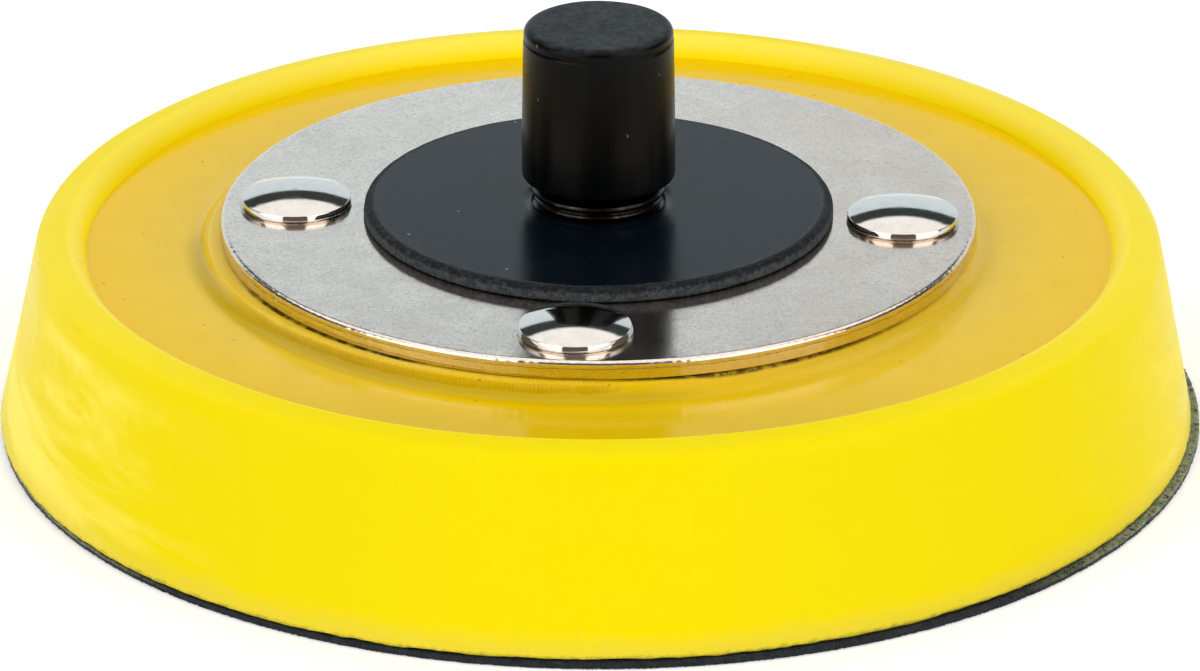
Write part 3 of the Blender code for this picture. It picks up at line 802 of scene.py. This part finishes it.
def make_knurl(plastic, boss, floor, level):
    """The knurled band that the mould left on the boss: it shows at the front and the left."""
    ribs = 600
    first, last = -80, 14  # the azimuths at which the band begins and ends

    def knurled(x, y, r, z):
        azimuth = azimuth_of(x, y)
        present = clamp(min((azimuth - first) / 25, (last - azimuth) / 16))
        sunk = 0.35 * (1.0 - present)
        rib = 0.5 + 0.5 * math.cos(math.radians(azimuth) * ribs)
        strength = present * max(0.25, min(1.0, 0.75 + 1.2 * wave(x, y, 0.0, 0.11, 12)))
        torn = present * max(0.0, wave(x, y, 0.0, 0.5, 13) - 0.25)
        out = boss_shift(x, y) - sunk
        if z > floor + 0.2:
            out += 0.1 * (rib - 0.5) * strength - 0.08 * torn
        return out, (0.06 * rib * strength - 0.12 * torn - sunk) if z > level - 0.2 else 0.0

    corners = [
        (boss - 0.5, level - 0.3, 0.0),
        (boss - 0.3, floor + 0.05, 0.0),
        (boss + 0.3, floor + 0.05, 0.0),
        (boss + 0.3, floor + 0.3, 0.08),
        (boss + 0.14, level, 0.2),
        (boss - 0.36, level + 0.05, 0.08),
    ]
    band = lathe("mould_knurl", outline(corners, 0.4, 3), ribs * 4, knurled)
    band.data.materials.append(plastic)
    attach(band, "pad")


def make_hub():
    """The steel plate: blanked edge rolled over on top, with a ragged burr below the roll."""
    radius, low, high = node_span("hub_plate")
    face = radius - 0.36
    burr = high - 0.44

    def blanked(x, y, r, z):
        up = 0.004 * wave(x, y, 0.0, 0.07, 16)
        out = 0.0
        if r > face + 0.02 and z > burr - 0.1:
            fine = wave(x, y, 0.0, 4.5, 18)
            ragged = wave(x, y, 0.0, 1.1, 17) + 0.8 * fine
            if z > burr + 0.1:
                out += 0.022 * fine
                up += 0.005 * fine
            else:
                up -= 0.05 * max(0.0, ragged)
                out += 0.035 * ragged
        elif r > radius - 0.1:
            out += 0.006 * wave(x, y, z * 0.2, 1.2, 19)
        return out, up

    corners = [
        (STUD_BORE, low, 0.06),
        (radius - 0.03, low, 0.06),
        (radius - 0.03, burr - 0.07, 0.0),
        (radius - 0.09, burr - 0.04, 0.0),
        (radius - 0.02, burr, 0.0),
        (radius, burr + 0.03, 0.0),
        (radius, high, 0.27),
        (face, high, 0.0),
        (STUD_BORE, high, 0.08),
    ]
    plate = lathe("hub_disc", outline(corners, 0.9, 8), 960, blanked)
    drill(plate, rivet_holes(low - 1, high + 1, RIVET_BORE))
    steel = tumbled_steel("tumbled_hub_steel", (0.84, 0.75, 0.68), (0.805, 0.71, 0.635))
    plate.data.materials.append(steel)
    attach(plate, "pad")
    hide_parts("hub_plate")


def make_rivets():
    """Four rivets: polished domed heads, shanks, and set tails under the backing plate."""
    _, low, high = node_span("rivet_front")
    _, _, hub_high = node_span("hub_plate")
    _, washer_low, _ = node_span("rivet_washer_front")
    seat = hub_high + 0.012
    head, shank, tail = 3.5, 2.0, 2.9
    ball, rim = 11.4, 3.42
    centre = high - ball
    rim_z = centre + math.sqrt(ball**2 - rim**2)
    steps = 20
    dome = []
    for step in range(1, steps):
        r = (rim - 0.1) * (1 - step / (steps - 1))
        dome.append((r, centre + math.sqrt(ball**2 - r**2), 0.0))
    corners = [
        (0.0, low, 0.0),
        (tail, low, 0.4),
        (tail, washer_low - 0.05, 0.05),
        (shank, washer_low - 0.05, 0.0),
        (shank, seat, 0.0),
        (head - 0.1, seat, 0.0),
        (head, seat + 0.13, 0.06),
        (rim, rim_z + 0.01, 0.09),
        *dome,
    ]
    material = polished_nickel()
    for name, centre_xy in rivet_centres().items():
        seed = len(name) + centre_xy.x

        def struck(x, y, r, z, seed=seed):
            if z < seat + 0.05:
                return 0.0, 0.0
            return 0.014 * wave(x, y, z * 2, 0.5, seed), 0.008 * wave(x, y, 0.0, 0.35, seed + 2)

        rivet = lathe(name + "_polished", outline(corners, 0.6, 8), 160, struck)
        moved(rivet, *centre_xy)
        rivet.data.materials.append(material)
        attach(rivet, "pad")
        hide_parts(name)


def make_washer():
    """The punched rubber washer: its edge drags down on top, and it grips the stud with a lip."""
    radius, low, high = node_span("friction_washer")
    bore, face, lip = STUD_BORE, radius - 0.56, 4.16

    def punched(x, y, r, z):
        up = 0.006 * wave(x, y, 0.0, 0.12, 20) if z > high - 0.1 else 0.0
        if r > face + 0.05:
            return 0.03 * wave(x, y, z, 0.6, 21) + 0.025 * wave(x, y, z, 3.0, 22), up
        return 0.0, up

    profile = [(bore, low), (bore + 2, low), (face, low), (radius - 0.1, low), (radius - 0.04, low + 0.05)]
    profile += [(radius, low + 0.15), (radius, low + 0.26)]
    for angle in quarter_turn(12):
        r = face - 0.05 + (radius + 0.03 - face) * math.cos(angle) ** 0.9
        profile.append((r, low + 0.33 + (high - low - 0.33) * math.sin(angle)))
    profile += [(r, high) for r in np.arange(face - 0.25, lip + 0.15, -0.5)]
    lip_low = SHOULDER_TOP + 0.02
    profile += [(lip + 0.05, high), (lip, high - 0.04), (lip, lip_low), (bore - 0.02, lip_low)]
    washer = lathe("rubber_washer", profile, 480, punched)
    washer.data.materials.append(black_rubber(face))
    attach(washer, "washer")
    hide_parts("friction_washer")


def make_cap():
    """The dip-moulded thread cap: slightly barrelled, with a faint lap line below its crown."""
    radius, low, high = node_span("thread_cap")
    bore, inner_top = 4.02, high - 1.0
    lap = high - 0.8

    def dipped(x, y, r, z):
        if r < bore + 0.05 and z < inner_top + 0.1:
            return 0.0, 0.0
        out = 0.012 * wave(x, y, z, 0.35, 23) if r > bore + 0.05 else 0.0
        if abs(z - lap) < 0.07:
            out -= 0.09 * clamp(0.4 + 1.5 * wave(x, y, 0.0, 0.12, 26) - 0.12 * x)
        up = 0.015 * wave(x, y, 0.0, 0.4, 24) if z > high - 0.3 else 0.0
        return out, up

    profile = [(0.0, inner_top), (bore - 0.3, inner_top), (bore, inner_top - 0.3)]
    profile += [(bore, z) for z in np.linspace(inner_top - 0.8, low + 0.2, 14)]
    profile += [(bore + 0.02, low), (bore + 0.08, low)]
    profile += [(radius - 0.55, low), (radius - 0.45, low + 0.01)]
    foot = 0.3
    for angle in quarter_turn(10)[1:]:
        r = radius - foot + foot * math.sin(angle) ** 0.85
        profile.append((r, low + 0.02 + foot * (1 - math.cos(angle))))
    for z in np.linspace(low + 0.7, lap - 0.15, 22):
        share = (z - low - foot) / (lap - low - foot)
        profile.append((radius - 0.11 * share**1.8, z))
    crown = radius - 0.12
    profile += [(crown, lap - 0.08), (crown, lap), (crown - 0.01, lap + 0.08)]
    soft, drop = 0.5, 0.42
    for angle in quarter_turn(12):
        r = crown - soft + (soft - 0.02) * math.cos(angle)
        profile.append((r, high - drop + drop * math.sin(angle) ** 1.1))
    profile += [(r, high) for r in np.arange(crown - soft - 0.35, 0.2, -0.35)]
    profile.append((0.0, high))
    cap = lathe("guard_cap", profile, 200, dipped)
    cap.data.materials.append(cap_polyethylene(high))
    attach(cap, "cap")
    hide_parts("thread_cap")


THREAD_RADIUS, THREAD_PITCH = 7.9375 / 2, 25.4 / 24  # 5/16 inch, 24 turns per inch
THREAD_DEPTH = 0.6134 * THREAD_PITCH
THREAD_ROOT = THREAD_RADIUS - THREAD_DEPTH
# The thread over one pitch: each point's share of the pitch, and its share of the depth.
THREAD_FORM = [
    (0.0, 1.0), (0.06, 1.0), (0.125, 0.94), (0.2, 0.68), (0.3, 0.32), (0.4, 0.05),
    (0.46, 0.0), (0.66, 0.0), (0.72, 0.05), (0.82, 0.32), (0.92, 0.68), (0.98, 0.94),
]


def thread_side(part, start, tip):
    """The thread's outline from start to tip, at that part of a turn round it."""
    side = []
    for turn in range(math.ceil((tip - start) / THREAD_PITCH) + 2):
        for phase, share in THREAD_FORM:
            z = max(start, min(tip, start + THREAD_PITCH * (turn - 1 + part + phase)))
            run_out = min((z - start) * 0.9, (tip - z) * 0.8)
            side.append((THREAD_ROOT + max(0.0, min(share * THREAD_DEPTH, run_out)), z))
    return side


def stud_side(part, low, hub_low, tip):
    """The stud's outline at that part of a turn, and how many of its points lie below the thread."""
    across_flats, thread_start = 12.7, 16.0
    from_flat = (TURN * part + math.pi / 6) % (math.pi / 3) - math.pi / 6
    flat = across_flats / 2 / math.cos(from_flat)
    foot = [
        (flat - 0.25, low), (flat, low + 0.25), (flat, hub_low - 0.05),
        (4.8, hub_low - 0.05), (4.8, SHOULDER_TOP - 0.05), (4.75, SHOULDER_TOP), (4.1, SHOULDER_TOP),
    ]
    collar = [
        (3.8, 14.28), (3.8, 14.46), (3.86, 14.5), (3.95, 14.54), (3.98, 14.6), (3.98, 14.7),
        (3.93, 14.78), (3.82, 14.84), (3.8, 14.9), (3.88, 14.96), (4.06, 15.02), (4.12, 15.1),
        (4.13, 15.22), (4.12, 15.34), (4.05, 15.44), (3.9, 15.52), (3.72, 15.6), (3.62, 15.75),
        (THREAD_ROOT, 15.86),
    ]
    return foot + collar + thread_side(part, thread_start, tip), len(foot + collar)


def wound(columns, fixed):
    """Joins columns of points round an axis, each point used once, and caps the two ends.

    From row fixed on, the last column meets the first one a whole turn of the thread further on.
    """
    rows = len(columns[0])
    verts, known, faces = [], {}, []

    def vertex(column, row):
        point = columns[column][min(row, rows - 1)]
        key = tuple(round(value, 5) for value in point)
        if key not in known:
            known[key] = len(verts)
            verts.append(point)
        return known[key]

    made = set()
    for column in range(len(columns)):
        after = (column + 1) % len(columns)
        for row in range(rows - 1):
            step = len(THREAD_FORM) if after == 0 and row >= fixed else 0
            upper = len(THREAD_FORM) if after == 0 and row + 1 >= fixed else 0
            face = list(dict.fromkeys((
                vertex(column, row), vertex(after, row + step),
                vertex(after, row + 1 + upper), vertex(column, row + 1),
            )))
            if len(face) > 2 and frozenset(face) not in made:
                made.add(frozenset(face))
                faces.append(face)
    for row in (0, rows - 1):
        faces.append([vertex(column, row) for column in range(len(columns))])
    return verts, faces


def make_stud():
    """The stud: hexagon head, shoulder, rolled two-ridged collar and a rolled thread."""
    low, high = node_box("threaded_stud")
    _, hub_low, _ = node_span("hub_plate")
    segments = 144
    columns = []
    for index in range(segments):
        part = index / segments
        angle = TURN * part
        side, fixed = stud_side(part, low.z, hub_low, high.z)
        columns.append([(r * math.cos(angle), r * math.sin(angle), z) for r, z in side])
    stud = mesh_object("collared_stud", *wound(columns, fixed), 50.0)
    stud.data.materials.append(dark_stud_steel())
    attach(stud, "pad")
    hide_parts("threaded_stud")


def finish_hidden_washers():
    """The washers under the rivets' tails keep their CAD shape and get plated steel."""
    steel = tumbled_steel("plated_washer_steel", (0.72, 0.71, 0.69), (0.56, 0.55, 0.53))
    for name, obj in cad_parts.items():
        if name.startswith("rivet_washer"):
            obj.data.materials.clear()
            obj.data.materials.append(steel)


# ---- studio

def make_floor():
    """A pale table, lit a little from below as a light table is."""
    mesh = bpy.data.meshes.new("studio_floor")
    half, level = 6.0, -0.00002  # in metres
    corners = [(x * half, y * half, level) for x, y in ((-1, -1), (1, -1), (1, 1), (-1, 1))]
    mesh.from_pydata(corners, [], [(0, 1, 2, 3)])
    floor = bpy.data.objects.new("studio_floor", mesh)
    bpy.context.scene.collection.objects.link(floor)
    material = bpy.data.materials.new("pale_table")
    material.use_nodes = True
    shader = material.node_tree.nodes["Principled BSDF"]
    shader.inputs["Base Color"].default_value = (0.80, 0.80, 0.80, 1.0)
    shader.inputs["Roughness"].default_value = 0.9
    shader.inputs["Specular IOR Level"].default_value = 0.1
    shader.inputs["Emission Color"].default_value = (1.0, 1.0, 1.0, 1.0)
    shader.inputs["Emission Strength"].default_value = 0.3
    mesh.materials.append(material)


# Each panel of light or dark cloth round the table: brightness, colour, azimuth range (0 is the
# front and 180 the back, to either side), elevation range, and how soft its edge is, in degrees.
PANELS = [
    (0.15, (1.0, 0.78, 0.58), (0, 180), (-90, 90), 1.0),
    (0.94, (0.88, 1.0, 1.07), (128, 180), (-90, 26), 2.0),
    (0.06, (0.75, 1.0, 1.0), (100, 180), (26, 38), 1.0),
    (1.3, (1.0, 0.99, 0.97), (88, 180), (38, 90), 1.5),
    (1.3, (1.0, 0.99, 0.97), (0, 96), (56, 90), 4.0),
    (2.2, (1.0, 0.99, 0.97), (26, 75), (-8, 54), 1.5),
]


def make_world():
    """Studio light by direction: later panels cover earlier ones. The camera itself sees white."""
    world = bpy.data.worlds.new("studio")
    bpy.context.scene.world = world
    world.use_nodes = True
    world.node_tree.nodes.clear()
    tree = Tree(world.node_tree, "Generated")

    def inside(value, low, high, soft):
        above = tree.spread(value, low - soft, low + soft)
        return tree.times(above, tree.spread(value, high + soft, high - soft))

    elevation = tree.math("DEGREES", tree.math("ARCSINE", tree.along("Z")))
    azimuth = tree.math("ABSOLUTE", tree.azimuth())
    light = None
    for strength, colour, azimuths, elevations, soft in PANELS:
        value = tuple(strength * c for c in colour)
        if light is None:
            light = value
            continue
        low, high = azimuths
        bottom, top = elevations
        mask = tree.times(
            inside(azimuth, low if low > 0 else -90, high if high < 180 else 270, soft),
            inside(elevation, bottom, top if top < 90 else 180, soft),
        )
        light = tree.blend(mask, light, value)
    studio = tree.add("Background", 0, {"Color": light})
    white = tree.add("Background", 0, {"Color": (1.0, 1.0, 1.0)})
    to_camera = tree.add("LightPath", "Is Camera Ray")
    shown = tree.add("MixShader", 0, {"Fac": to_camera, 1: studio, 2: white})
    tree.put(tree.nodes.new("ShaderNodeOutputWorld").inputs["Surface"], shown)


def make_camera():
    """A long lens from the front, level from side to side and looking down on the pad."""
    data = bpy.data.cameras.new("camera")
    data.lens = 250.8
    data.sensor_width = 36.0
    data.sensor_fit = "HORIZONTAL"
    data.clip_start = 0.01
    data.clip_end = 50.0
    camera = bpy.data.objects.new("camera", data)
    camera.location = (0.00009, -0.47979, 0.21258)
    camera.rotation_euler = (math.radians(66.62), 0.0, 0.0)
    bpy.context.scene.collection.objects.link(camera)
    bpy.context.scene.camera = camera


def main():
    """Sets up the studio, then makes every piece from the facing upwards."""
    make_camera()
    make_world()
    make_floor()
    make_facing()
    make_glue()
    make_foam()
    make_backing()
    make_hub()
    make_rivets()
    make_washer()
    make_cap()
    make_stud()
    finish_hidden_washers()
    bpy.context.scene.view_settings.view_transform = "Standard"


main()
